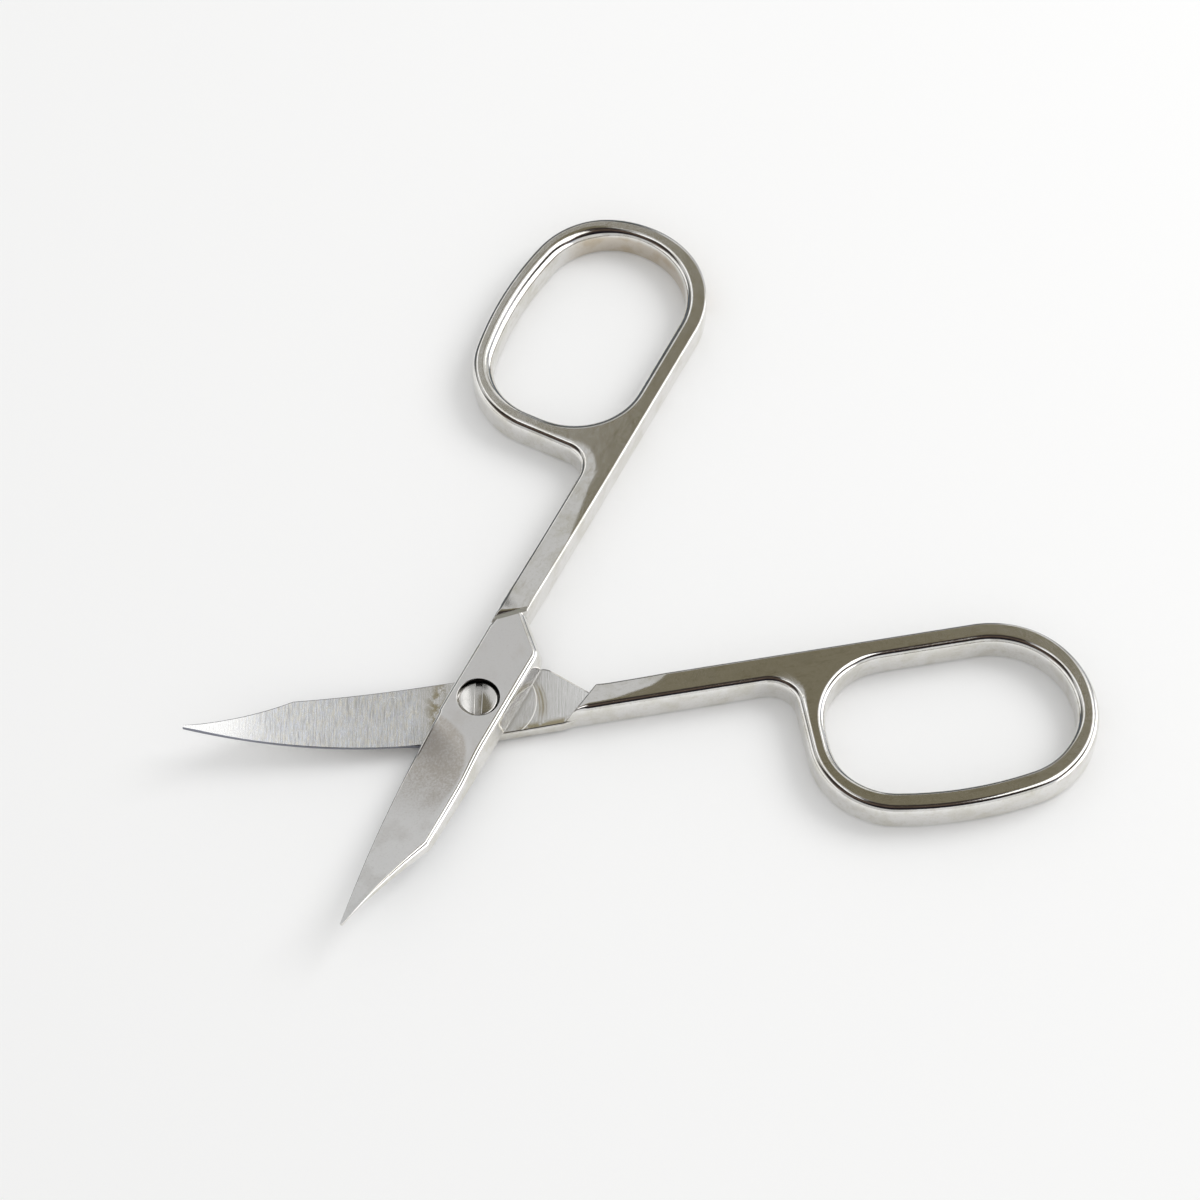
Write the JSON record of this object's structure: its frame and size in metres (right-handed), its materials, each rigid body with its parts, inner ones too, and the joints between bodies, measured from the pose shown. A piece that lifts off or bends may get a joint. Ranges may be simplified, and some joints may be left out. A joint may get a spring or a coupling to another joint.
{
  "type": "curved nail scissors",
  "caption": "Small all-metal curved nail scissors lying open: crossed halves with upward-curving pointed blades and oval finger loops, joined by a sunk slotted pivot screw.",
  "frame": {"origin": "centre of the flat end of the pivot screw's tail, on the table plane under the joint", "axes": "+Z from the table along the pivot axis to the screw head; +X halves the angle between the two handles and the blades point along -X; +Y from the lower half's finger loop to the upper half's"},
  "size_m": [0.0814, 0.0888, 0.0059],
  "materials": {
    "lower_half_steel": "bright plated handle; inner blade face ground across in fine lines",
    "upper_half_steel": "bright plated handle; plate and outer blade face satin polished",
    "screw_steel": "turned and polished head, worn slot"
  },
  "bodies": {
    "lower": {"lower_half": "lower_half_steel", "pivot_screw": "screw_steel"},
    "upper": {"upper_half": "upper_half_steel"}
  },
  "joints": [
    {"name": "pivot", "type": "hinge", "parent": "lower", "child": "upper", "pos_m": [0, 0, 0], "axis": [0, 0, 1], "range_deg": [-53, 82]}
  ]
}
